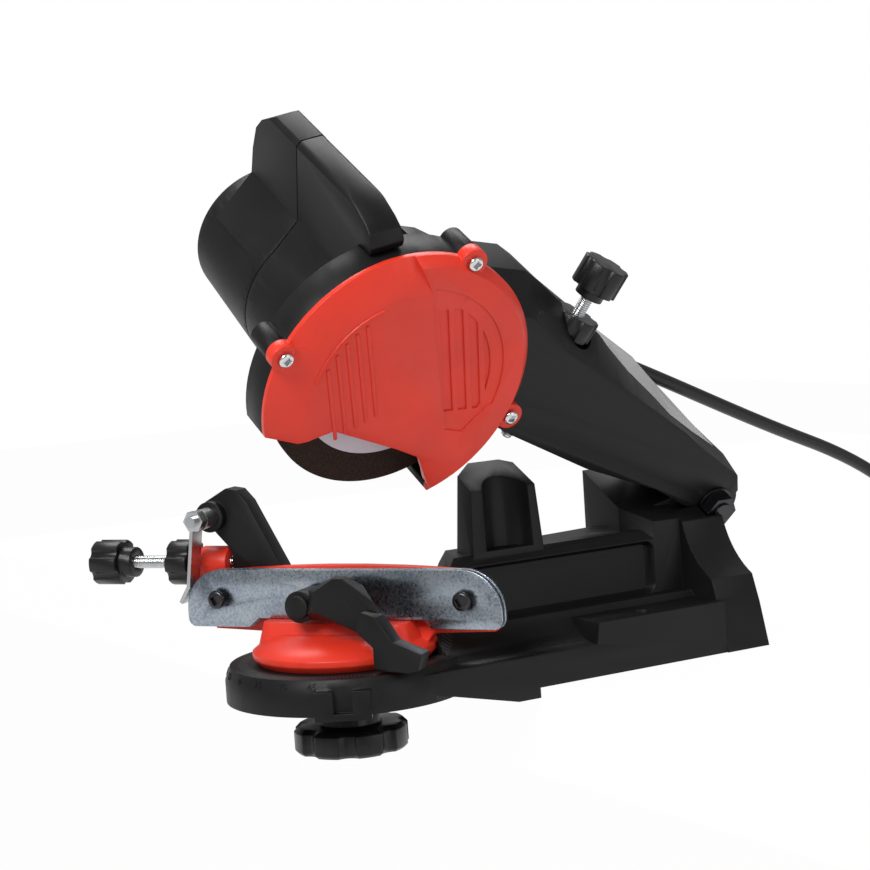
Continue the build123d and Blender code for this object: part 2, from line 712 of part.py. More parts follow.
with BuildPart() as arm:
    # far part, full height
    with BuildSketch(head(arm_far)):
        outline(arm_full + arm_tip + arm_low[3:])
        pivot_round()
    extrude(amount=arm_far - 8)
    # near part, sloping down to the facet line
    with BuildSketch(head(8)):
        outline(arm_full + arm_tip + arm_low[3:])
    with BuildSketch(head(arm_near)):
        outline(arm_facet + arm_tip + arm_low[3:])
    loft(ruled=True)
    with BuildSketch(head(8)):
        pivot_round()
    extrude(amount=8 - arm_near)
    # shoulder that runs up beside the motor's barrel
    with BuildSketch(head(arm_far)):
        outline([(disc_x + 40.1, disc_u + 17.55), (disc_x + 40.1, disc_u + 42.95),
                 (disc_x + 30.6, disc_u + 44.55), (disc_x + 20.1, disc_u + 49.55),
                 (disc_x + 12.1, disc_u + 50.95), (disc_x + 18.1, disc_u + 38.55),
                 (disc_x + 29.1, disc_u + 17.55)])
    extrude(amount=arm_far - guard_back)
    # open underside between the cheeks
    with BuildSketch(head(arm_far - arm_wall)):
        outline([(-85, 118), (-62, 118), (-45, 103), (-20, 86), (20, 56), (55, 30),
                 (pivot_x + 30, 10), (pivot_x + 30, -20), (20, -20), (-85, 20)])
        with Locations((pivot_x, pivot_u)):
            Circle(lug_radius + 3)
    extrude(amount=arm_far - arm_near - 2 * arm_wall, mode=Mode.SUBTRACT)
    # back shell of the guard
    with BuildSketch(head(guard_back)):
        with Locations((disc_x, disc_u)):
            Circle(guard_radius)
    extrude(amount=guard_back - guard_split)
    with BuildSketch(head(guard_back - 2.8)):
        with Locations((disc_x, disc_u)):
            Circle(guard_radius - guard_wall)
    extrude(amount=60, mode=Mode.SUBTRACT)
    with BuildSketch(head(60)):
        outline(opening)
    extrude(amount=100, mode=Mode.SUBTRACT)
    # bosses of the cover screws
    with BuildSketch(head(guard_back)):
        with Locations(*boss_places):
            Circle(boss_radius - 0.5)
        with Locations((disc_x, disc_u)):
            Circle(guard_radius - guard_wall, mode=Mode.SUBTRACT)
    extrude(amount=guard_back - guard_split)
    with BuildSketch(head(2)):
        with Locations(*boss_places):
            Circle(1.5)
    extrude(amount=2 - guard_split, mode=Mode.SUBTRACT)
    with BuildSketch(head(60)):
        with Locations((disc_x, disc_u)):
            Circle(12)
        with Locations((pivot_x, pivot_u)):
            Circle(pivot_bolt_d / 2 + run_fit)
    extrude(amount=100, mode=Mode.SUBTRACT)
    # barrel's seat in the arm's far side, and the depth screw's bore
    with BuildSketch(head(60)):
        with Locations((disc_x, disc_u)):
            Circle(barrel_front + part_gap / 3)
    extrude(amount=60 - guard_back, mode=Mode.SUBTRACT)
    with BuildSketch(depth_plane(-30)):
        Circle(depth_rod_d / 2 + run_fit)
    extrude(amount=130, mode=Mode.SUBTRACT)
    with BuildSketch(depth_plane(lock_low - part_gap)):
        Circle(depth_knob_radius + 1)
    extrude(amount=60, mode=Mode.SUBTRACT)
save(arm, "arm_shell")

def on_disc(points):
    """Closed outline given from the disc's centre."""
    outline([(disc_x + x, disc_u + u) for x, u in points])


def field_outline():
    """Leaves of the sketch in progress what lies inside the sunk field's straight sides."""
    points = [(3.3, 52), (4.5, 41), (17.7, 0.1), (25, -22), (34, -24), (44, -12), (60, -8), (60, 52)]
    Polygon(*[(disc_x + x, disc_u + u) for x, u in points], align=None, mode=Mode.INTERSECT)


# conical band over the cover's upper left, ending at a slanting step
rim_plane = Plane(origin=head_point(disc_x, disc_u, 0), x_dir=(1, 0, 0), z_dir=tuple(head_up))
with BuildPart() as cover_cone:
    with BuildSketch(rim_plane):
        outline([(cone_radius, guard_front - 1), (cone_radius, guard_front), (guard_radius, cone_rim),
                 (guard_radius + 8, cone_rim), (guard_radius + 8, guard_front - 1)])
    revolve(axis=Axis(tuple(head_point(disc_x, disc_u, 0)), tuple(head_axis)), revolution_arc=360)
    with BuildSketch(head(0)):
        on_disc([(-80, -70), (-30, -70), (20, -20), (3.3, 45.8), (-6.3, 61), (-12, 75), (-80, 75)])
    extrude(amount=30, mode=Mode.INTERSECT)

with BuildPart() as cover:
    with BuildSketch(head(guard_split)):
        with Locations((disc_x, disc_u)):
            Circle(guard_radius)
    extrude(amount=guard_split - guard_front)
    chamfer(cover.edges().filter_by(GeomType.CIRCLE).sort_by(Axis((0, 0, 0), tuple(head_axis)))[0], length=4)
    add(cover_cone.part, mode=Mode.SUBTRACT)
    # hollow inside, its floor following the cone
    with BuildSketch(rim_plane):
        outline([(0, guard_split + 1), (0, guard_front + guard_wall), (cone_radius, guard_front + guard_wall),
                 (guard_radius - guard_wall, guard_split - 0.6), (guard_radius - guard_wall, guard_split + 1)])
    revolve(axis=Axis(tuple(head_point(disc_x, disc_u, 0)), tuple(head_axis)), revolution_arc=360,
            mode=Mode.SUBTRACT)
    # sunk field on the right, and the grooves between its ribs
    with BuildSketch(head(guard_front + field_depth)):
        with Locations((disc_x, disc_u)):
            Circle(field_radius)
        field_outline()
    extrude(amount=field_depth + 1, mode=Mode.SUBTRACT)
    with BuildSketch(head(guard_front + field_depth + groove_depth)):
        for i in range(4):
            on_disc([(11 + rib_pitch * i - groove_wide / 2, 37), (25 + rib_pitch * i - groove_wide / 2, -13),
                     (25 + rib_pitch * i + groove_wide / 2, -13), (11 + rib_pitch * i + groove_wide / 2, 37)])
        with Locations((disc_x, disc_u)):
            Circle(field_radius - 6, mode=Mode.INTERSECT)
    extrude(amount=groove_depth + 1, mode=Mode.SUBTRACT)
    with BuildSketch(head(60)):
        outline(opening)
    extrude(amount=100, mode=Mode.SUBTRACT)
    with BuildSketch(head(guard_split)):
        with Locations(*boss_places):
            Circle(boss_radius)
        with Locations((disc_x, disc_u)):
            Circle(guard_radius - guard_wall, mode=Mode.SUBTRACT)
    extrude(amount=boss_height)
    with BuildSketch(head(guard_split)):
        with Locations(*boss_places):
            Circle(1.5 + slip_fit)
    extrude(amount=boss_height, mode=Mode.SUBTRACT)
    with BuildSketch(head(guard_split - boss_height)):
        with Locations(*boss_places):
            Circle(3.6)
    extrude(amount=10, mode=Mode.SUBTRACT)
save(cover, "guard_cover")

for name, place in zip(("cover_screw_lower", "cover_screw_upper", "cover_screw_left"), boss_places):
    with BuildPart() as cover_screw:
        with BuildSketch(head(guard_split - boss_height)):
            with Locations(place):
                Circle(3.2)
        extrude(amount=2.2)
        with BuildSketch(head(2)):
            with Locations(place):
                Circle(1.5)
        extrude(amount=2 - guard_split + boss_height)
    save(cover_screw, name)

# ---------------------------------------------------------------- motor housing
switch_x = disc_x - 20
switch_wide = 13.0
switch_high = 19.0
switch_deep = 8.0
rocker_pin_r = 1.2
lean = math.radians(handle_lean)
fin_dir = (-math.sin(lean), math.cos(lean))
fin_side = (math.cos(lean), math.sin(lean))


def fin(r, s):
    """Point of the handle's section: r out from the spindle, s sideways."""
    return (disc_x + fin_dir[0] * r + fin_side[0] * s, disc_u + fin_dir[1] * r + fin_side[1] * s)


def handle_section():
    """Section of the handle, flanks running out onto the motor's barrel."""
    half = handle_thick / 2
    top = handle_reach - handle_bevel
    outline([fin(24, -27), fin(42, -half - 1.5), fin(top, -half), fin(handle_reach, handle_bevel - half),
             fin(handle_reach, half - handle_bevel), fin(top, half), fin(42, half + 1.5), fin(24, 27)])


def handle_profile():
    """Side view of the handle, on the plane through the spindle that contains it."""
    outline([(guard_back, 20), (guard_back, guard_radius + part_gap), (handle_foot, guard_radius + part_gap),
             (handle_foot - 1.8, 66), (handle_foot + 0.5, 71), (1, 74), (9.5, 77.5), (19, handle_reach),
             (86, handle_reach), (97, 73.5), (103, 67), (107, 55), (109, 42), (109, 20)])


handle_side = Plane(origin=head_point(disc_x, disc_u, 0), x_dir=tuple(head_axis),
                    z_dir=tuple(head_axis.cross(Vector(1, 0, 0) * fin_dir[0] + head_up * fin_dir[1])))

with BuildPart() as housing:
    with BuildSketch(head(110)):
        handle_section()
    extrude(amount=120)
    with BuildSketch(handle_side):
        handle_profile()
    extrude(amount=60, both=True, mode=Mode.INTERSECT)
    with BuildSketch(head(guard_back)):
        with Locations((disc_x, disc_u)):
            Circle(barrel_front)
    with BuildSketch(head(motor_end)):
        with Locations((disc_x, disc_u + barrel_rise)):
            Circle(barrel_rear)
    loft()
    # motor room and bearing seats
    with BuildSketch(head(motor_room_back)):
        with Locations((disc_x, disc_u)):
            Circle(motor_room)
    extrude(amount=motor_room_back - motor_room_front, mode=Mode.SUBTRACT)
    with BuildSketch(head(motor_room_back + bearing_width + 3)):
        with Locations((disc_x, disc_u)):
            Circle(bearing_radius)
    extrude(amount=motor_room_back + bearing_width + 3 - guard_back, mode=Mode.SUBTRACT)
    # recess of the switch
    with BuildSketch(head(motor_end)):
        with Locations((switch_x, disc_u)):
            Rectangle(switch_wide, switch_high)
    extrude(amount=switch_deep, mode=Mode.SUBTRACT)

with BuildPart() as housing_front:
    add(housing.part)
    split(bisect_by=head(motor_seam), keep=Keep.TOP)
save(housing_front, "motor_housing_front")

with BuildPart() as housing_rear:
    add(housing.part)
    split(bisect_by=head(motor_seam), keep=Keep.BOTTOM)
save(housing_rear, "motor_housing_rear")


# ---------------------------------------------------------------- rotor
def spindle_piece(start, end, outer, inner):
    """Ring square to the spindle, from w=start (front) to w=end."""
    with BuildPart() as ring:
        with BuildSketch(head(end)):
            with Locations((disc_x, disc_u)):
                Circle(outer)
                if inner:
                    Circle(inner, mode=Mode.SUBTRACT)
        extrude(amount=end - start)
    return ring


shaft_r = shaft_d / 2
half_disc = disc_thick / 2
save(spindle_piece(-half_disc, half_disc, disc_radius, disc_bore / 2), "grinding_disc")
save(spindle_piece(-half_disc - 0.3, -half_disc, label_radius, flange_radius + 0.3), "disc_label")
save(spindle_piece(-half_disc - 3, -half_disc, flange_radius, shaft_r), "flange_outer")

flange_back = guard_back - 2.8 - part_gap
with BuildPart() as flange_inner:
    with BuildSketch(head(half_disc)):
        with Locations((disc_x, disc_u)):
            Circle(disc_bore / 2)
            Circle(shaft_r, mode=Mode.SUBTRACT)
    extrude(amount=disc_thick)
    with BuildSketch(head(flange_back)):
        with Locations((disc_x, disc_u)):
            Circle(flange_radius)
            Circle(shaft_r, mode=Mode.SUBTRACT)
    extrude(amount=flange_back - half_disc)
    with BuildSketch(head(12)):
        with Locations((disc_x, disc_u)):
            Circle(9)
            Circle(shaft_r, mode=Mode.SUBTRACT)
    extrude(amount=12 - flange_back)
save(flange_inner, "flange_inner")

with BuildPart() as arbor_nut:
    with BuildSketch(head(-half_disc - 3)):
        with Locations((disc_x, disc_u)):
            RegularPolygon(7.5, 6)
            Circle(shaft_r, mode=Mode.SUBTRACT)
    extrude(amount=4)
save(arbor_nut, "arbor_nut")

bearing_front = motor_room_front - bearing_width
save(spindle_piece(-half_disc - 8, motor_room_back + bearing_width, shaft_r, 0), "rotor_shaft")
save(spindle_piece(bearing_front, motor_room_front, bearing_radius, shaft_r + run_fit), "bearing_front")
save(spindle_piece(motor_room_back, motor_room_back + bearing_width, bearing_radius, shaft_r + run_fit),
     "bearing_rear")
save(spindle_piece(40, 75, armature_radius, shaft_r), "armature")
save(spindle_piece(82, 94, 11, shaft_r), "commutator")
save(spindle_piece(38, 77, motor_room, armature_radius + 0.6), "stator")

with BuildPart() as fan:
    with BuildSketch(head(36)):
        with Locations((disc_x, disc_u)):
            Circle(27)
            Circle(shaft_r, mode=Mode.SUBTRACT)
    extrude(amount=1.5)
    with BuildSketch(head(34.5)):
        with Locations((disc_x, disc_u)):
            Circle(8)
            Circle(shaft_r, mode=Mode.SUBTRACT)
    extrude(amount=8)
    with BuildSketch(head(34.5)):
        with Locations((disc_x, disc_u)):
            with PolarLocations(17, 9):
                Rectangle(19, 1.6)
    extrude(amount=7)
save(fan, "fan")

brush_tip = 11 + part_gap
brush_root = motor_room - 0.8
for name, side in (("brush_left", -1), ("brush_right", 1)):
    with BuildPart() as brush:
        with BuildSketch(head(92)):
            with Locations((disc_x + side * (brush_tip + brush_root) / 2, disc_u)):
                Rectangle(brush_root - brush_tip, 7)
        extrude(amount=8)
    save(brush, name)

# ---------------------------------------------------------------- switch
rocker_plane = Plane(origin=head_point(switch_x, disc_u, motor_end), x_dir=tuple(head_up), z_dir=(-1, 0, 0))
with BuildPart() as switch_frame:
    with BuildSketch(head(motor_end)):
        with Locations((switch_x, disc_u)):
            Rectangle(switch_wide, switch_high)
            Rectangle(switch_wide - 3, switch_high - 3, mode=Mode.SUBTRACT)
    extrude(amount=switch_deep)
    with BuildSketch(head(motor_end + 1.2)):
        with Locations((switch_x, disc_u)):
            Rectangle(switch_wide + 3, switch_high + 3)
            Rectangle(switch_wide - 3, switch_high - 3, mode=Mode.SUBTRACT)
    extrude(amount=1.2)
    with BuildSketch(rocker_plane):
        with Locations((0, -2)):
            Circle(rocker_pin_r + run_fit)
    extrude(amount=switch_wide, both=True, mode=Mode.SUBTRACT)
save(switch_frame, "switch_frame")

with BuildPart() as rocker:
    # seen from the side: two faces meeting at a shallow angle, round underneath
    with BuildSketch(rocker_plane):
        with BuildLine():
            Polyline((-7.2, -2.2), (-7.4, 0.2), (0, 1.6), (6.6, 3.4), (7.4, 0.2), (7.2, -2.2))
            ThreePointArc((7.2, -2.2), (0, -6), (-7.2, -2.2))
        make_face()
    extrude(amount=switch_wide / 2 - 1.8, both=True)
    # pins it rocks on
    with BuildSketch(rocker_plane):
        with Locations((0, -2)):
            Circle(rocker_pin_r)
    extrude(amount=switch_wide / 2 - 0.5, both=True)
save(rocker, "switch_rocker")

# ---------------------------------------------------------------- depth stop
with BuildPart() as depth_screw:
    with BuildSketch(depth_plane(0)):
        Circle(depth_rod_d / 2)
    extrude(amount=88)
    chamfer(depth_screw.edges().sort_by(Axis((0, 0, 0), tuple(depth_dir)))[0], length=1)
save(depth_screw, "depth_screw")

with BuildPart() as depth_knob:
    with BuildSketch(depth_plane(knob_low)):
        knob_sketch(depth_knob_radius, 6, 3)
    extrude(amount=13)
    with BuildSketch(depth_plane(knob_low - 4)):
        Circle(6.5)
    extrude(amount=4)
    with BuildSketch(depth_plane(knob_low - 5)):
        Circle(depth_rod_d / 2 + run_fit)
    extrude(amount=15, mode=Mode.SUBTRACT)
save(depth_knob, "depth_knob")

with BuildPart() as depth_lock:
    with BuildSketch(depth_plane(lock_low + 3)):
        knob_sketch(depth_knob_radius, 6, 3)
    extrude(amount=10)
    with BuildSketch(depth_plane(lock_low)):
        Circle(7)
    extrude(amount=3)
    with BuildSketch(depth_plane(lock_low - 1)):
        Circle(depth_rod_d / 2 + run_fit)
    extrude(amount=20, mode=Mode.SUBTRACT)
save(depth_lock, "depth_lock_knob")

# ---------------------------------------------------------------- lead
cord_dir = Vector(0.9096, 0, 0) + head_up * -0.4155
relief_start = head_point(disc_x + 31.6, disc_u + 20.95, cord_w)
with BuildPart() as relief:
    with BuildSketch(Plane(origin=tuple(relief_start - cord_dir * 4), z_dir=tuple(cord_dir))):
        Circle(6.2)
    with BuildSketch(Plane(origin=tuple(relief_start + cord_dir * 34), z_dir=tuple(cord_dir))):
        Circle(4.4)
    loft()
    with BuildSketch(head(cord_w + 20)):
        with Locations((disc_x, disc_u)):
            Circle(barrel_front)
    extrude(amount=40, mode=Mode.SUBTRACT)
save(relief, "strain_relief")

cord_start = relief_start + cord_dir * 34
cord_points = [
    cord_start,
    relief_start + cord_dir * 94,
    Vector(43.5, 4.5, 128.4),
    Vector(133, 25, 93),
    Vector(200, 43, 70),
    Vector(246, 53, 45),
    Vector(274, 60, 21),
    Vector(297, 64.3, 8.4),
    Vector(318, 66, coil_high / 2),
]
turns = []
for i in range(1, len(cord_points) - 1):
    before = cord_points[i] - cord_points[i - 1]
    after = cord_points[i + 1] - cord_points[i]
    turn = math.radians(before.get_angle(after))
    turns.append(0.45 * min(before.length, after.length) / math.tan(turn / 2))
with BuildPart() as cord:
    with BuildLine():
        cord_path = FilletPolyline(*cord_points, radius=turns)
    with BuildSketch(cord_path ^ 0):
        Circle(cord_d / 2)
    sweep()
save(cord, "cord")

# bundled rest of the lead, lying on the bench, with its two ends
coil_x = 356.0
coil_y = cord_points[-1].Y - coil_radius
with BuildPart() as coil:
    with BuildSketch(Plane(origin=(coil_x, coil_y, 0), x_dir=(1, 0, 0), z_dir=(0, -1, 0))):
        inner, outer = coil_radius - coil_wide / 2, coil_radius + coil_wide / 2
        outline([(inner + 4, 0), (outer - 4, 0), (outer, 4), (outer, coil_high - 4), (outer - 4, coil_high),
                 (inner + 4, coil_high), (inner, coil_high - 4), (inner, 4)])
    revolve(axis=Axis((coil_x, coil_y, 0), (0, 0, 1)), revolution_arc=360)
    with BuildSketch(cord_path ^ 1):
        Circle(cord_d / 2)
    extrude(amount=16)
    with BuildSketch(Plane(origin=(coil_x, coil_y - coil_radius, coil_high / 2), z_dir=(-1, 0, 0))):
        Circle(cord_d / 2)
    extrude(amount=38)
save(coil, "cord_coil")



def plug_section(high, wide):
    """Rectangle with its corners cut off."""
    a, b, cut = high / 2, wide / 2, 4
    outline([(-a + cut, -b), (a - cut, -b), (a, -b + cut), (a, b - cut), (a - cut, b), (-a + cut, b), (-a, b - cut),
             (-a, -b + cut)])


plug_face = coil_x - 38
with BuildPart() as plug:
    with BuildSketch(Plane(origin=(plug_face, coil_y - coil_radius, coil_high / 2), z_dir=(-1, 0, 0))):
        plug_section(coil_high - 1, 16)
    with BuildSketch(Plane(origin=(plug_face - 30, coil_y - coil_radius, coil_high / 2), z_dir=(-1, 0, 0))):
        plug_section(coil_high - 0.4, 34)
    loft(ruled=True)
    with BuildSketch(Plane(origin=(plug_face - 30, coil_y - coil_radius, coil_high / 2), z_dir=(-1, 0, 0))):
        with GridLocations(0, 19, 1, 2):
            Circle(2)
    extrude(amount=19)
save(plug, "plug")
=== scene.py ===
import bpy
import math
from mathutils import Matrix, Vector


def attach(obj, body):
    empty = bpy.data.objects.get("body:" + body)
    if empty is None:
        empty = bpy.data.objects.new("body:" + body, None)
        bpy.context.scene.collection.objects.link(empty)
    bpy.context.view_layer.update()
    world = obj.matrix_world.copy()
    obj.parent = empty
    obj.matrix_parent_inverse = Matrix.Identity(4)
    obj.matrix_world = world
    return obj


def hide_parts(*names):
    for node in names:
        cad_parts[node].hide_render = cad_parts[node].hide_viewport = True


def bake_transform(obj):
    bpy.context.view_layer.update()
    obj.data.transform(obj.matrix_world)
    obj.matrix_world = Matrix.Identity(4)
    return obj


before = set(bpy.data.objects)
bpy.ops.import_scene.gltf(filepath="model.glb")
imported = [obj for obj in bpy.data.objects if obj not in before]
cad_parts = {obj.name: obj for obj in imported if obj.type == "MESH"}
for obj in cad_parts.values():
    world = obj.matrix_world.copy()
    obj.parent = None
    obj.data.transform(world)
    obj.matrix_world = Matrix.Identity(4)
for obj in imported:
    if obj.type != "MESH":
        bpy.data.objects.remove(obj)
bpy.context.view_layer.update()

# ---------------------------------------------------------------- camera
# A long lens at bench height, a little above the sharpener, looks over the vise
# at the front of the guard. The frame leans slightly to the left.
eye = bpy.data.cameras.new("eye")
eye.sensor_width = 36
eye.lens = 93.52
eye.clip_start, eye.clip_end = 0.05, 30
camera = bpy.data.objects.new("camera", eye)
camera.matrix_world = Matrix((
    (0.85528, 0.10071, -0.50828, -0.59507),
    (-0.51405, 0.04158, -0.85674, -0.87154),
    (-0.06515, 0.99403, 0.08733, 0.19946),
    (0, 0, 0, 1)))
bpy.context.scene.collection.objects.link(camera)
bpy.context.scene.camera = camera
bpy.context.scene.view_settings.view_transform = "Standard"


# ---------------------------------------------------------------- lead
# Round two-core mains lead in black PVC, 6.6 mm thick and 1.8 m long. It leaves the
# motor's barrel, comes down to the bench in one long bow and ends in five and a half turns.
class Reading:
    """A value inside a material, which adds, multiplies and compares as a number does."""

    def __init__(self, paint, socket):
        self.paint, self.socket = paint, socket

    def maths(self, operation, *values, clamp=False):
        return self.paint.node("ShaderNodeMath", {"operation": operation, "use_clamp": clamp}, *values)

    def __add__(self, other):
        return self.maths("ADD", self, other)

    def __radd__(self, other):
        return self.maths("ADD", other, self)

    def __sub__(self, other):
        return self.maths("SUBTRACT", self, other)

    def __rsub__(self, other):
        return self.maths("SUBTRACT", other, self)

    def __mul__(self, other):
        return self.maths("MULTIPLY", self, other)

    def __rmul__(self, other):
        return self.maths("MULTIPLY", other, self)

    def __truediv__(self, other):
        return self.maths("DIVIDE", self, other)

    def __rtruediv__(self, other):
        return self.maths("DIVIDE", other, self)

    def __neg__(self):
        return self.maths("MULTIPLY", self, -1)

    def __gt__(self, other):
        return self.maths("GREATER_THAN", self, other)

    def __lt__(self, other):
        return self.maths("LESS_THAN", self, other)

    def __pow__(self, other):
        return self.maths("POWER", self, other)

    def __abs__(self):
        return self.maths("ABSOLUTE", self)

    def held(self, low=0.0, high=1.0):
        return self.paint.node("ShaderNodeClamp", {}, self, low, high)

    def spread(self, low, high, to_low=0.0, to_high=1.0):
        return self.paint.node("ShaderNodeMapRange", {"interpolation_type": "SMOOTHSTEP"},
                               self, low, high, to_low, to_high)


class Paint:
    """One material, with its principled shader and the nodes that feed it."""

    def __init__(self, name, colour=(0.5, 0.5, 0.5), roughness=0.5, **uniform):
        self.material = bpy.data.materials.new(name)
        self.material.use_nodes = True
        self.tree = self.material.node_tree
        self.shader = self.tree.nodes["Principled BSDF"]
        self.put("Base Color", colour)
        self.put("Roughness", roughness)
        for key, value in uniform.items():
            self.put(key.replace("_", " "), value)
        self.material.diffuse_color = (*colour, 1) if isinstance(colour, tuple) else (0.5, 0.5, 0.5, 1)

    def put(self, name, value):
        socket = self.shader.inputs[name]
        if isinstance(value, Reading):
            self.tree.links.new(value.socket, socket)
        elif isinstance(value, tuple) and len(value) == 3 and len(socket.default_value) == 4:
            socket.default_value = (*value, 1)
        else:
            socket.default_value = value

    def node(self, kind, settings=None, *values, out=0, **named):
        made = self.tree.nodes.new(kind)
        for key, value in (settings or {}).items():
            setattr(made, key, value)
        shown = [s for s in made.inputs if s.enabled]
        pairs = list(zip(shown, values)) + [(made.inputs[k.replace("_", " ")], v) for k, v in named.items()]
        for socket, value in pairs:
            if isinstance(value, Reading):
                self.tree.links.new(value.socket, socket)
            elif isinstance(value, tuple) and len(value) == 3 and socket.type == "RGBA":
                socket.default_value = (*value, 1)
            else:
                socket.default_value = value
        outs = [s for s in made.outputs if s.enabled]
        return Reading(self, outs[out] if isinstance(out, int) else made.outputs[out])

    def place(self, centre=(0, 0, 0), turn=(0, 0, 0), scale=(1, 1, 1)):
        """Where a point is on the object, in metres."""
        spot = self.node("ShaderNodeTexCoord", out="Object")
        if (centre, turn, scale) == ((0, 0, 0), (0, 0, 0), (1, 1, 1)):
            return spot
        return self.node("ShaderNodeMapping", {"vector_type": "TEXTURE"}, spot, centre, turn, scale)

    def grain(self, spot, scale, detail=2.0, rough=0.5):
        return self.node("ShaderNodeTexNoise", {}, Vector=spot, Scale=scale, Detail=detail, Roughness=rough)

    def mix(self, share, first, second):
        return self.node("ShaderNodeMix", {"data_type": "RGBA"}, share, first, second)

    def parts(self, spot):
        split = self.tree.nodes.new("ShaderNodeSeparateXYZ")
        self.tree.links.new(spot.socket, split.inputs[0])
        return [Reading(self, s) for s in split.outputs]

    def relief(self, height, depth, edge=0.0):
        """Bump of the given depth in metres, over edges rounded to the given radius."""
        feed = {"Height": height, "Distance": depth, "Strength": 1.0}
        if edge:
            feed["Normal"] = self.node("ShaderNodeBevel", {"samples": 4}, edge)
        self.put("Normal", self.node("ShaderNodeBump", {}, **feed))
        return self.material


def moulded(name, colour, roughness=0.45, pebble=0.00003, edge=0.0006, dull=0.12, **uniform):
    """Injection-moulded plastic: spark-eroded grain, faint flow marks and hand-dulled patches."""
    paint = Paint(name, colour, roughness, **uniform)
    spot = paint.place()
    fine = paint.grain(spot, 1400, 3)
    cloud = paint.grain(spot, 38, 3)
    light = tuple(min(1, c * 1.1 + 0.0015) for c in colour)
    paint.put("Base Color", paint.mix(cloud.spread(0.35, 0.75), colour, light))
    paint.put("Roughness", (roughness + (cloud - 0.5) * dull + (fine - 0.5) * 0.15).held(0.05, 1.0))
    return paint.relief(fine, pebble, edge)


def cover(name, material, rounding=0.0, limit=28):
    """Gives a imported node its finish, and its moulded edges their rounding."""
    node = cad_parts[name]
    node.data.materials.clear()
    node.data.materials.append(material)
    for face in node.data.polygons:
        face.material_index = 0
    if rounding:
        node.data.shade_smooth()
        weld = node.modifiers.new("weld", "WELD")
        weld.merge_threshold = 0.000005
        flat = node.modifiers.new("flat", "DECIMATE")
        flat.decimate_type = "DISSOLVE"
        flat.angle_limit = math.radians(1)
        soften = node.modifiers.new("soften", "BEVEL")
        soften.width = rounding
        soften.segments = 2
        soften.limit_method = "ANGLE"
        soften.angle_limit = math.radians(limit)
        soften.harden_normals = True
        soften.miter_outer = "MITER_ARC"
    return node


lead_d = 0.0066
lead_way = [
    (-0.067574, -0.019995, 0.170833), (-0.012998, -0.00753, 0.149243), (0.0435, 0.0045, 0.1284),
    (0.133, 0.025, 0.093), (0.2, 0.043, 0.07), (0.246, 0.053, 0.045),
    (0.274, 0.06, 0.021), (0.297, 0.0643, 0.0084), (0.318, 0.0664, 0.0058), (0.337, 0.0699, 0.0042),
]
# Two and a half turns run inwards on the bench, half a turn climbs on to them, and two
# and a half more run outwards on top.
coil_x, coil_y = 0.356, 0.024
points_a_turn = 14
stretch = 1.025  # brings the whole lead to its length
for step in range(78):
    turns = step / points_a_turn
    if turns < 2.5:
        reach = 47.6 - 6.7 * turns
    elif turns < 3:
        reach = 30.85 - 2.9 * (turns - 2.5)
    else:
        reach = 29.4 + 6.65 * (turns - 3)
    reach *= stretch / 1000
    lift = 3.4 + 6.8 * min(1, max(0, (turns - 2.45) / 0.55))
    angle = math.pi / 2 - 2 * math.pi * turns
    lead_way.append((coil_x + reach * math.cos(angle), coil_y + reach * math.sin(angle), lift / 1000))
# the tail leaves the coil and runs straight into the plug
lead_way += [
    (0.346, -0.0222, 0.0104), (0.336, -0.0204, 0.0102), (0.326, -0.0186, 0.0083), (0.318, -0.018, 0.0072),
]
lead_line = bpy.data.curves.new("lead_line", "CURVE")
lead_line.dimensions = "3D"
lead_line.resolution_u = 6
spline = lead_line.splines.new("NURBS")
spline.points.add(len(lead_way) - 1)
for point, spot in zip(spline.points, lead_way):
    point.co = (*spot, 1)
spline.order_u = 3
spline.use_endpoint_u = True
route = bpy.data.objects.new("lead_route", lead_line)
bpy.context.scene.collection.objects.link(route)
bpy.context.view_layer.update()
read = bpy.data.meshes.new_from_object(route.evaluated_get(bpy.context.evaluated_depsgraph_get()))
lead_line.bevel_depth = lead_d / 2
lead_line.bevel_resolution = 3
lead_line.use_fill_caps = True
bpy.context.view_layer.update()
lead = bpy.data.objects.new("lead", bpy.data.meshes.new_from_object(
    route.evaluated_get(bpy.context.evaluated_depsgraph_get())))
bpy.context.scene.collection.objects.link(lead)
bpy.data.objects.remove(route)
lead.data.shade_smooth()
pvc = moulded("lead_pvc", (0.009, 0.009, 0.01), 0.42, 0.00001, 0, 0.2, Specular_IOR_Level=0.3)
lead.data.materials.clear()
lead.data.materials.append(pvc)
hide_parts("cord", "cord_coil")
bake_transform(lead)

# ---------------------------------------------------------------- strain relief and plug
# A tapered sleeve guides the lead out of the barrel. At the other end is a flat two-pin
# plug, moulded on in the same black PVC.
cover("strain_relief", pvc)
cover("plug", pvc)

# ---------------------------------------------------------------- bench
# A pale laminate bench whose edge meets the lip under the base, so that the vise's
# table hangs free in front of it. Everything behind is plain white.
def slab(name, low, high):
    bpy.ops.object.select_all(action="DESELECT")
    size = [h - l for l, h in zip(low, high)]
    middle = [(h + l) / 2 for l, h in zip(low, high)]
    bpy.ops.mesh.primitive_cube_add(size=1, location=middle)
    made = bpy.context.object
    made.name = name
    made.scale = size
    bpy.ops.object.transform_apply(location=True, rotation=True, scale=True)
    return made


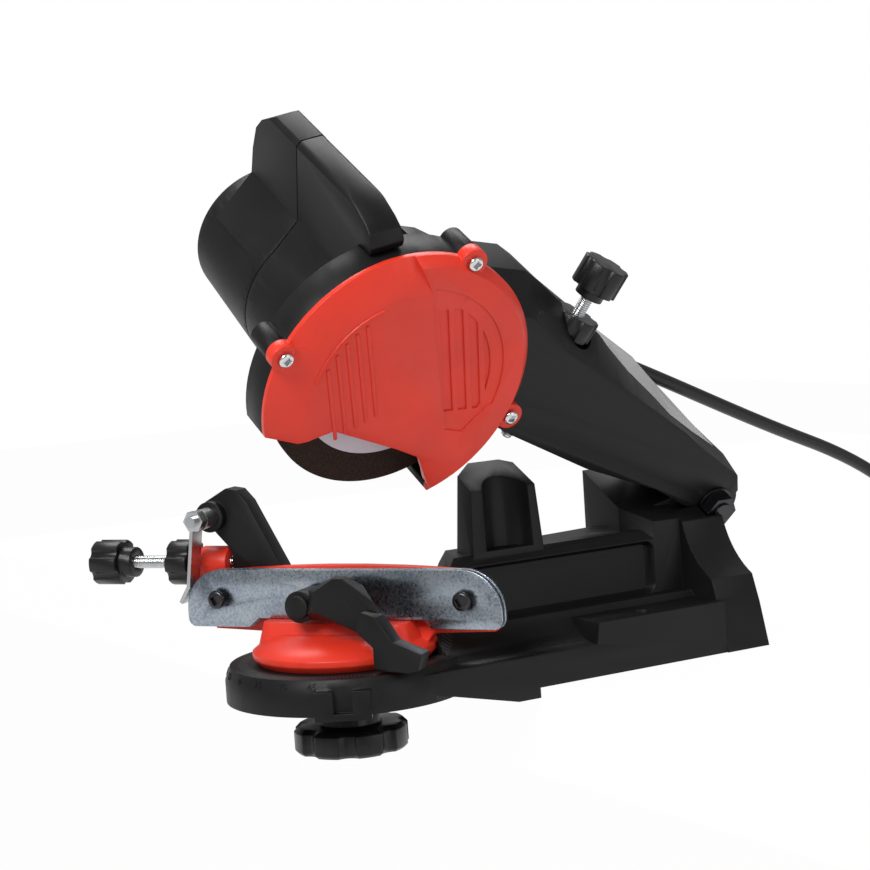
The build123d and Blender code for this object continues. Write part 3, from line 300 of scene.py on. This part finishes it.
bench = slab("bench", (-0.0635, -0.45, -0.04), (0.75, 0.7, 0))
ground = slab("ground", (-8, -3, -0.95), (9, 12, -0.9))
laminate = Paint("laminate", (0.9, 0.9, 0.9), 0.7)
ray = laminate.tree.nodes.new("ShaderNodeLightPath")
seen = [Reading(laminate, ray.outputs["Is " + kind + " Ray"])
        for kind in ("Camera", "Glossy", "Transmission")]
glow = laminate.node("ShaderNodeEmission", {}, (1.0, 1.0, 1.0), 1.0)
plain_white = 0.975
blend = laminate.node("ShaderNodeMixShader", {}, (seen[0] + seen[1] + seen[2]).held() * plain_white)
laminate.tree.links.new(laminate.shader.outputs[0], blend.socket.node.inputs[1])
laminate.tree.links.new(glow.socket, blend.socket.node.inputs[2])
laminate.tree.links.new(blend.socket, laminate.tree.nodes["Material Output"].inputs["Surface"])
for stand in (bench, ground):
    stand.data.materials.append(laminate.material)

# ---------------------------------------------------------------- lamps
# A large soft box in front and above on the left, a weaker one on the right, a strip
# behind for the top edges, and an even white room.
sky = bpy.data.worlds.new("room")
bpy.context.scene.world = sky
sky.use_nodes = True
room = sky.node_tree
path = room.nodes.new("ShaderNodeLightPath")
white = room.nodes["Background"]
white.inputs["Color"].default_value = (1, 1, 1, 1)
white.inputs["Strength"].default_value = 0.36
backdrop = room.nodes.new("ShaderNodeBackground")
backdrop.inputs["Color"].default_value = (1, 1, 1, 1)
backdrop.inputs["Strength"].default_value = 1.0
either = room.nodes.new("ShaderNodeMath")
either.operation = "MAXIMUM"
room.links.new(path.outputs["Is Camera Ray"], either.inputs[0])
room.links.new(path.outputs["Is Transmission Ray"], either.inputs[1])
pick = room.nodes.new("ShaderNodeMixShader")
room.links.new(either.outputs[0], pick.inputs[0])
room.links.new(white.outputs[0], pick.inputs[1])
room.links.new(backdrop.outputs[0], pick.inputs[2])
room.links.new(pick.outputs[0], room.nodes["World Output"].inputs["Surface"])


def soft_box(name, spot, aim, wide, high, power):
    lamp = bpy.data.lights.new(name, "AREA")
    lamp.shape, lamp.size, lamp.size_y, lamp.energy = "RECTANGLE", wide, high, power
    hung = bpy.data.objects.new(name, lamp)
    hung.location = spot
    hung.rotation_euler = (Vector(aim) - Vector(spot)).to_track_quat("-Z", "Y").to_euler()
    bpy.context.scene.collection.objects.link(hung)


soft_box("key", (-1.3, -0.7, 1.3), (-0.05, 0, 0.1), 0.8, 0.8, 30)
soft_box("fill", (0.5, -1.7, 0.35), (0, 0, 0.1), 0.9, 1.2, 5)
soft_box("rim", (0.3, 0.8, 1.5), (0, 0, 0.12), 1.4, 0.6, 17)

# ---------------------------------------------------------------- base
# One black glass-filled nylon moulding carries everything: bench plate, beam, stop tower,
# pivot pillar and the round table of the vise. Two vents in the pillar's slope are not cut
# open: they are painted near black as painted shade and sunk a little by bump, and fine
# degree ticks stand round the turntable.
nylon = (0.0052, 0.0052, 0.0058)
nylon_shine = 0.23
black = moulded("black_nylon", nylon, 0.46, Specular_IOR_Level=nylon_shine)

swivel = Vector((-0.131, 0, 0))
cast = Paint("black_nylon_base", nylon, 0.46, Specular_IOR_Level=nylon_shine)
along, over, height = cast.parts(cast.place(centre=tuple(swivel)))
reach = (along * along + over * over) ** 0.5
two_degrees = over.maths("ARCTAN2", over, along) * (90 / math.pi)
tick = abs(two_degrees.maths("FRACT", two_degrees) - 0.5).spread(0.2, 0.3)
ticks_and_highlight = tick * (reach > 0.0436) * (reach < 0.0478) * (height > 0.0172)


def vent_shade_box(x, y, z, wide, deep, high):
    """A box round a point, measured from the swivel's axis, of the given half sizes, where a vent is painted
    near black as painted shade.
    """
    return (abs(along - x) < wide) * (abs(over - y) < deep) * (abs(height - z) < high)


vent_shade = vent_shade_box(0.1474, -0.0101, 0.0726, 0.0019, 0.006, 0.004)
vent_shade = vent_shade + vent_shade_box(0.1557, -0.0191, 0.0695, 0.0021, 0.007, 0.0026)
pebbles = cast.grain(cast.place(), 1400, 3)
patches = cast.grain(cast.place(), 38, 3)
tone = cast.mix(patches.spread(0.35, 0.75), nylon, (0.0072, 0.0072, 0.0079))
# The ticks are raised by bump and also painted lighter than the nylon: a painted highlight for the light
# their edges catch.
tone = cast.mix(ticks_and_highlight, tone, (0.03, 0.03, 0.031))
# Painted shade: the vents are painted near black to stand for the dark inside the slots.
cast.put("Base Color", cast.mix(vent_shade, tone, (0.0004, 0.0004, 0.0004)))
rough = 0.46 + (patches - 0.5) * 0.12 + (pebbles - 0.5) * 0.15 + vent_shade * 0.5
cast.put("Roughness", rough.held(0.05, 1.0))
cover("base_frame", cast.relief(pebbles * 0.08 + ticks_and_highlight - vent_shade, 0.00035, 0.0006), 0.0012)

# ---------------------------------------------------------------- degree numbers
# Plain raised numbers, 4.4 mm type, stand every 15 degrees round the table's bevel. They
# come from the mould, 0.3 mm proud, in the base's own black nylon.
def laid(piece, matrix):
    """Puts a piece in its place and leaves its object unturned and unscaled at the origin."""
    bpy.ops.object.select_all(action="DESELECT")
    piece.select_set(True)
    bpy.context.view_layer.objects.active = piece
    piece.matrix_world = matrix
    bpy.ops.object.transform_apply(location=True, rotation=True, scale=True)
    return piece


def axes(spot, across, up, out, scale=0.001):
    """Place of a piece drawn in millimetres, from where its X, Y and Z point."""
    turn = Matrix((across, up, out)).transposed().to_4x4()
    return Matrix.Translation(spot) @ turn @ Matrix.Scale(scale, 4)


def joined(name, *pieces):
    bpy.ops.object.select_all(action="DESELECT")
    for piece in pieces:
        piece.select_set(True)
    bpy.context.view_layer.objects.active = pieces[0]
    bpy.ops.object.join()
    pieces[0].name = name
    return pieces[0]


def fixed(piece, material, body, finish, *stands_for):
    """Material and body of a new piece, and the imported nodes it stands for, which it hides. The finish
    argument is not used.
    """
    piece.data.materials.clear()
    piece.data.materials.append(material)
    for face in piece.data.polygons:
        face.material_index = 0
    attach(piece, body)
    if stands_for:
        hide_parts(*stands_for)
    return piece


bevel_radius = 0.05258
bevel_height = 0.0145
numbers = []
for step, mark in enumerate(("45", "30", "15", "0", "15", "30", "45")):
    angle = math.pi + math.radians(15 * (step - 3))
    away = Vector((math.cos(angle), math.sin(angle), 0))
    side = Vector((-math.sin(angle), math.cos(angle), 0))
    out = away * 0.937 + Vector((0, 0, 0.35))
    bpy.ops.object.select_all(action="DESELECT")
    bpy.ops.object.text_add()
    number = bpy.context.object
    number.data.body = mark
    number.data.size = 4.4
    number.data.extrude = 0.3
    number.data.align_x = "CENTER"
    number.data.align_y = "CENTER"
    bpy.ops.object.convert(target="MESH")
    spot = swivel + away * bevel_radius + Vector((0, 0, bevel_height))
    numbers.append(laid(bpy.context.object, axes(spot, side, out.cross(side), out)))
fixed(joined("degree_numbers", *numbers), black, "base", "black_plastic")

# ---------------------------------------------------------------- pivot
# An M10 bolt through two cheeks, with washers, a steel sleeve and the return spring
# between them, held by a blackened lock nut on the near side.
def metal(name, colour, roughness, cloud=0.08, edge=0.0003):
    paint = Paint(name, colour, roughness, Metallic=1.0)
    spot = paint.place()
    haze = paint.grain(spot, 90, 4)
    paint.put("Base Color", paint.mix(haze.spread(0.3, 0.7), tuple(c * 0.86 for c in colour), colour))
    paint.put("Roughness", (roughness + (haze - 0.5) * cloud * 2).held(0.05, 1.0))
    return paint.relief(paint.grain(spot, 2500, 2), 0.000006, edge)


steel = metal("zinc_steel", (0.56, 0.57, 0.58), 0.34)
bright = metal("bright_steel", (0.72, 0.73, 0.74), 0.2)
dark = metal("black_steel", (0.06, 0.06, 0.065), 0.3)
for name in ("pivot_sleeve", "return_spring", "pivot_washer_far"):
    cover(name, steel)
for name in ("pivot_bolt", "pivot_nut", "pivot_washer_near"):
    cover(name, dark)

# ---------------------------------------------------------------- vise body
# A red painted casting turns on the table and carries the chain rail.
red_cast = moulded("red_paint", (0.7, 0.035, 0.016), 0.38, 0.00002, 0.0007, Specular_IOR_Level=0.35)
cover("vise_body", red_cast, 0.0008)

# ---------------------------------------------------------------- rail plates
# Two stamped steel plates, 2.2 mm thick and blue-white from zinc plating, hold the chain.
plate = Paint("zinc_plate", (0.3, 0.35, 0.42), 0.3, Metallic=1.0)
spot = plate.place()
cloudy = plate.grain(spot, 45, 4, 0.6)
speck = plate.grain(spot, 900, 3, 0.7)
tone = (cloudy * 0.35 + speck * 0.65).spread(0.34, 0.64)
plate.put("Base Color", plate.mix(tone, (0.2, 0.245, 0.31), (0.42, 0.46, 0.5)))
plate.put("Roughness", (0.24 + tone * 0.1).held())
zinc = plate.relief(speck, 0.00001, 0.0003)
for name in ("rail_plate_rear", "rail_plate_front"):
    cover(name, zinc, 0.0004)

# ---------------------------------------------------------------- rail screws
# Two M5 pan-head screws with a square recess, 8.4 mm across and blackened, go through
# both plates into the casting.
def shaped(piece, kind, **settings):
    """Gives a piece one modifier and applies it."""
    bpy.context.view_layer.objects.active = piece
    made = piece.modifiers.new(kind.lower(), kind)
    for key, value in settings.items():
        setattr(made, key, value)
    bpy.ops.object.modifier_apply(modifier=made.name)
    return piece


def rod(radius, low, high, sides=32, edge=0.0, segments=1):
    """Round bar between two heights on the Z axis, its rims rounded or chamfered by edge."""
    bpy.ops.object.select_all(action="DESELECT")
    bpy.ops.mesh.primitive_cylinder_add(vertices=sides, radius=radius, depth=high - low,
                                        location=(0, 0, (low + high) / 2))
    made = bpy.context.object
    bpy.ops.object.transform_apply(location=True, rotation=True, scale=True)
    if edge:
        shaped(made, "BEVEL", width=edge, segments=segments, limit_method="ANGLE",
               angle_limit=math.radians(50))
    return made


def smooth(piece, limit):
    piece.data.shade_smooth()
    bpy.ops.object.shade_smooth_by_angle(angle=math.radians(limit))
    return piece


def pan_screw(name, radius, high, shank, length):
    """Domed head standing on Z = 0 with a square recess, and a plain shank below it, in millimetres."""
    dome = high * 0.62
    corner = radius * 0.651113
    top = rod(radius, 0, high, 40, dome, 5)
    # two square cuts, turned about six degrees to each other, widen the recess at its corners
    for degree in (42.05827, 137.94173):
        cutter = laid(rod(1, -1, 1, 4), Matrix.Translation((0, 0, high))
                      @ Matrix.Rotation(math.radians(degree), 4, "Z")
                      @ Matrix.Diagonal((corner, corner, dome, 1)))
        shaped(top, "BOOLEAN", operation="DIFFERENCE", object=cutter, solver="EXACT")
        bpy.data.objects.remove(cutter)
    return smooth(joined(name, top, rod(shank, -length, 0.4, 24)), 35)


def standing(spot, out, turn=0.0):
    """Place of a piece drawn in millimetres whose Z axis points out."""
    aim = Vector(out).to_track_quat("Z", "Y").to_matrix().to_4x4()
    return Matrix.Translation(spot) @ aim @ Matrix.Rotation(turn, 4, "Z") @ Matrix.Scale(0.001, 4)


rail_turn = math.radians(35)
rail_out = Vector((math.cos(rail_turn), math.sin(rail_turn), 0))
rail_way = Vector((-rail_out.y, rail_out.x, 0))


def on_rail(back, along_rail, height):
    """A point from its place behind the rail's middle, along the rail and above the bench."""
    return swivel + rail_out * back + rail_way * along_rail + Vector((0, 0, height))


for name, side in (("rail_screw_left", 0.06), ("rail_screw_right", -0.06)):
    screw = pan_screw("black_" + name, 4.2, 2.6, 2.5, 13.4)
    laid(screw, standing(on_rail(-0.0048, side, 0.0436), -rail_out, 0.5))
    fixed(screw, dark, "vise", "black_steel", name)

# ---------------------------------------------------------------- clamp lever
# The lever with its capped hub pulls the front plate in by an M8 bolt. It is moulded in
# the same black nylon, and the bolt and the swivel's bolt and washer are zinc plated.
for name in ("clamp_bolt", "swivel_bolt", "swivel_washer"):
    cover(name, steel)
cover("clamp_lever", black, 0.0012)
cover("lever_cap", black, 0.0006)

# ---------------------------------------------------------------- lock knob
# A wide lobed hand knob under the table locks the swivel. It is glossier than the base.
knob_black = moulded("black_knob", (0.0062, 0.0062, 0.0066), 0.34, 0.000015, 0.0008, Specular_IOR_Level=0.34)
cover("swivel_lock_knob", knob_black, 0.001)

# ---------------------------------------------------------------- chain stop
# A black nylon arm slides on the rail's far end and holds the steel pawl, which hangs
# from an M5 bolt with a dome nut. Two small star knobs set and lock it.
cover("stop_arm", black, 0.001)
for name in ("pawl_bolt", "chain_pawl"):
    cover(name, steel)
cover("pawl_nut", bright)
for name in ("stop_knob", "stop_lock_knob"):
    cover(name, knob_black, 0.0008)

# ---------------------------------------------------------------- stop screw
# An M6 screw, 64 mm long, turned by the stop knob. Its rolled thread has a 1 mm pitch.
def threaded(name, length):
    """M6 rod from Z = 0 up, in millimetres: a three-sided ridge wound round a chamfered core."""
    pitch, steps, start = 1.0, 14, 1.2
    crest, root, wide = 2.98, 2.32, 0.54
    bpy.ops.object.select_all(action="DESELECT")
    bpy.ops.mesh.primitive_circle_add(vertices=3, radius=1, fill_type="NOTHING")
    deep = (crest - root) / 1.5
    ridge = laid(bpy.context.object, Matrix((
        (0, deep, 0, crest - deep), (0, 0, -1, 0), (wide, 0, 0, start), (0, 0, 0, 1))))
    shaped(ridge, "SCREW", angle=2 * math.pi, screw_offset=pitch, iterations=int(length - 2), steps=steps,
           render_steps=steps, use_merge_vertices=True)
    bpy.ops.object.mode_set(mode="EDIT")
    bpy.ops.mesh.select_all(action="SELECT")
    bpy.ops.mesh.fill_holes(sides=3)
    bpy.ops.mesh.select_all(action="SELECT")
    bpy.ops.mesh.normals_make_consistent(inside=False)
    bpy.ops.object.mode_set(mode="OBJECT")
    return joined(name, rod(2.42, 0, length, 28, 0.6), ridge)


stop_screw = laid(threaded("stop_thread", 64), standing(on_rail(0.013, 0.0586, 0.0578), rail_way))
fixed(stop_screw, bright, "stop_carriage", "bright_steel", "stop_screw")

# ---------------------------------------------------------------- arm
# The swinging arm is one black nylon shell with the guard's back. Its top side widens
# into a flat crest, 24 mm deep, that rises up to 9 mm to the far side.
head_out = Vector((0, -math.sqrt(0.75), -0.5))
head_up = Vector((0, -0.5, math.sqrt(0.75)))
head_foot = Vector((0, 0, 0.0562))
cover("arm_shell", black, 0.0012)


def on_head(x, u, w):
    """A point from its place along the base, up the tilted head and behind the disc, in mm."""
    return head_foot + (Vector((x, 0, 0)) + head_up * u - head_out * w) * 0.001


def skin(name, rows):
    """A closed skin over rows of points, the last row meeting the first."""
    bpy.ops.object.select_all(action="DESELECT")
    bpy.ops.mesh.primitive_grid_add(x_subdivisions=len(rows[0]) - 1, y_subdivisions=len(rows), size=1)
    made = bpy.context.object
    made.name = name
    spots = [spot for row in rows + rows[:1] for spot in row]
    for corner, spot in zip(made.data.vertices, spots):
        corner.co = spot
    bpy.ops.object.mode_set(mode="EDIT")
    bpy.ops.mesh.select_all(action="SELECT")
    bpy.ops.mesh.remove_doubles(threshold=0.000001)
    bpy.ops.mesh.fill_holes(sides=0)
    bpy.ops.mesh.select_all(action="SELECT")
    bpy.ops.mesh.normals_make_consistent(inside=False)
    bpy.ops.object.mode_set(mode="OBJECT")
    return made


def crest_row(stations, back, share, lift):
    """Points along the arm's top, at a share of the crest's rise, lifted a little."""
    return [on_head(x, u + rise * share + lift, back) for x, u, rise in stations]


# along the base, height of the arm's top there, and the crest's rise at the far side
crest_line = ((-17, 105.3, 0.3), (-8, 96, 2.4), (7, 82, 6.2), (26, 66.5, 8.8), (33, 60.4, 8.6),
              (38, 56, 8.4), (53, 45.8, 5.6), (71, 34.4, 1.2), (77, 30.6, 0.3))
crest_near, crest_far, crest_sunk = 8.1, 31.9, -2.5
crest = skin("arm_crest", [
    crest_row(crest_line, crest_near, 0, 0.1), crest_row(crest_line, crest_far, 1, 0),
    crest_row(crest_line, crest_far, 0, crest_sunk), crest_row(crest_line, crest_near, 0, crest_sunk)])
fixed(crest, black, "arm", "black_plastic")

# ---------------------------------------------------------------- arm label
# A strip of silver-grey film is stuck on the crest, about 0.3 mm proud and left bare.
film = moulded("label_film", (0.42, 0.42, 0.43), 0.42, 0.000004, 0, 0.3)
label_line = crest_line[1:-1]
label_near, label_far, film_top, film_foot = 9.2, 30.4, 0.35, -0.1
label = skin("arm_label", [
    crest_row(label_line, label_near, 0.05, film_top), crest_row(label_line, label_far, 0.94, film_top),
    crest_row(label_line, label_far, 0.94, film_foot), crest_row(label_line, label_near, 0.05, film_foot)])
fixed(label, film, "arm", "paper")

# ---------------------------------------------------------------- motor housing
# The motor's barrel and the handle are one black nylon moulding in two halves. The
# handle's edges are well rounded for the hand.
for name in ("motor_housing_front", "motor_housing_rear"):
    cover(name, black, 0.0016)
cover("switch_frame", black)
rocker_red = moulded("red_rocker", (0.7, 0.035, 0.016), 0.34, 0.000008, 0.0004)
cover("switch_rocker", rocker_red)

# ---------------------------------------------------------------- guard cover
# The red ABS cover of the guard, 2.6 mm thick, has a conical band round its upper left
# and a sunk ribbed field on the right. It is plain, with no word on it.
red = moulded("red_abs", (0.7, 0.035, 0.016), 0.36, 0.000012, 0.0005, Specular_IOR_Level=0.35)
cover("guard_cover", red, 0.0005, 9)

# ---------------------------------------------------------------- cover ribs
# Five low ribs, 1.7 mm wide and 0.6 mm high, fill the cover's left side, parallel to the
# grooves on the right. A round bead on a 43.5 mm radius bounds them.
disc_x, disc_up, cover_face = -130.1, 102.45, -16
rib_lean = math.atan2(0.29, 0.956)
ribs = []
for step in range(5):
    off = -13.6 - 4.8 * step
    top = math.sqrt(41.0 ** 2 - off ** 2)
    low = -7.5 - step
    bpy.ops.object.select_all(action="DESELECT")
    bpy.ops.mesh.primitive_cube_add(size=1)
    rib = laid(bpy.context.object, Matrix.Translation((off, (top + low) / 2, 0))
               @ Matrix.Diagonal((1.7, top - low, 1.2, 1)))
    shaped(rib, "BEVEL", width=0.45, segments=2)
    ribs.append(laid(rib, Matrix.Rotation(rib_lean, 4, "Z")))

# the bead is cut off along its top end, 9 mm left of the middle, and at its foot
top_way = math.radians(12)
foot_way = math.radians(-6)
cuts = (((math.cos(top_way) * -9, math.sin(top_way) * -9, 0), (math.cos(top_way), math.sin(top_way), 0)),
        ((math.sin(foot_way) * -9, 3, 0), (math.sin(foot_way), -math.cos(foot_way), 0)))
bpy.ops.object.select_all(action="DESELECT")
bpy.ops.mesh.primitive_torus_add(major_radius=43.5, minor_radius=0.62, major_segments=96, minor_segments=8)
bead = bpy.context.object
bpy.ops.object.mode_set(mode="EDIT")
for spot, way in cuts:
    bpy.ops.mesh.select_all(action="SELECT")
    bpy.ops.mesh.bisect(plane_co=spot, plane_no=way, use_fill=True, clear_outer=True)
bpy.ops.object.mode_set(mode="OBJECT")
cover_ribs = laid(joined("cover_ribs", *ribs, bead),
                  axes(on_head(disc_x, disc_up, cover_face), Vector((1, 0, 0)), head_up, head_out))
fixed(smooth(cover_ribs, 40), red, "arm", "red_plastic")

# ---------------------------------------------------------------- cover screws
# Three bright zinc-plated screws with a square recess, 6.4 mm across the head, sit in the
# bosses. Each stopped at an angle of its own when it was driven.
boss_reach, boss_seat = 61.5, -14.5
for name, degree in (("cover_screw_lower", -19), ("cover_screw_upper", 70), ("cover_screw_left", 161)):
    way = math.radians(degree)
    stopped_at = degree  # taken as radians, which comes out as a chance angle
    screw = pan_screw("bright_" + name, 3.2, 2.2, 1.5, 16)
    spot = on_head(disc_x + boss_reach * math.cos(way), disc_up + boss_reach * math.sin(way), boss_seat)
    laid(screw, standing(spot, head_out, stopped_at))
    fixed(screw, bright, "arm", "bright_steel", name)

# ---------------------------------------------------------------- spindle
# The steel shaft runs in two ball bearings and clamps the disc between two flanges.
for name in ("bearing_front", "bearing_rear", "rotor_shaft", "flange_outer", "flange_inner", "arbor_nut"):
    cover(name, steel)

# ---------------------------------------------------------------- motor
# A brushed universal motor: laminated stator and armature, copper commutator, two
# carbon brushes and a grey nylon fan.
iron = metal("lamination", (0.28, 0.28, 0.29), 0.5)
copper = metal("copper", (0.78, 0.38, 0.2), 0.3)
carbon = moulded("carbon", (0.02, 0.02, 0.02), 0.6)
for name, finish in (("stator", iron), ("armature", iron), ("commutator", copper), ("brush_left", carbon),
                     ("brush_right", carbon), ("fan", moulded("grey_nylon", (0.25, 0.25, 0.26), 0.5))):
    cover(name, finish)

# ---------------------------------------------------------------- grinding disc
# A resin-bonded wheel, 108 mm across and 3.2 mm thick, in dark brown corundum.
grit = Paint("abrasive", (0.02, 0.011, 0.008), 0.88, Specular_IOR_Level=0.25)
spot = grit.place()
grains = grit.node("ShaderNodeTexVoronoi", {}, Vector=spot, Scale=1700.0)
grit.put("Base Color", grit.mix(grains.spread(0.2, 0.8), (0.014, 0.0075, 0.0055), (0.034, 0.018, 0.013)))
cover("grinding_disc", grit.relief(grains, 0.00006))

# ---------------------------------------------------------------- disc label
# A round of pale lilac-grey paper covers the wheel's middle. It is bare.
cover("disc_label", moulded("label_paper", (0.6, 0.54, 0.6), 0.6, 0.000005, 0))

# ---------------------------------------------------------------- depth stop
# An M6 screw through the arm's shoulder sets how deep the disc comes down. Two star
# knobs turn and lock it.
depth_lean = math.radians(20)
depth_way = Vector((math.sin(depth_lean), 0, 0)) + head_up * math.cos(depth_lean)
depth_screw = laid(threaded("depth_thread", 88), standing(on_head(-54.1, 56.0, 8.0), depth_way))
fixed(depth_screw, bright, "depth_screw", "bright_steel", "depth_screw")
for name in ("depth_knob", "depth_lock_knob"):
    cover(name, knob_black, 0.0008)
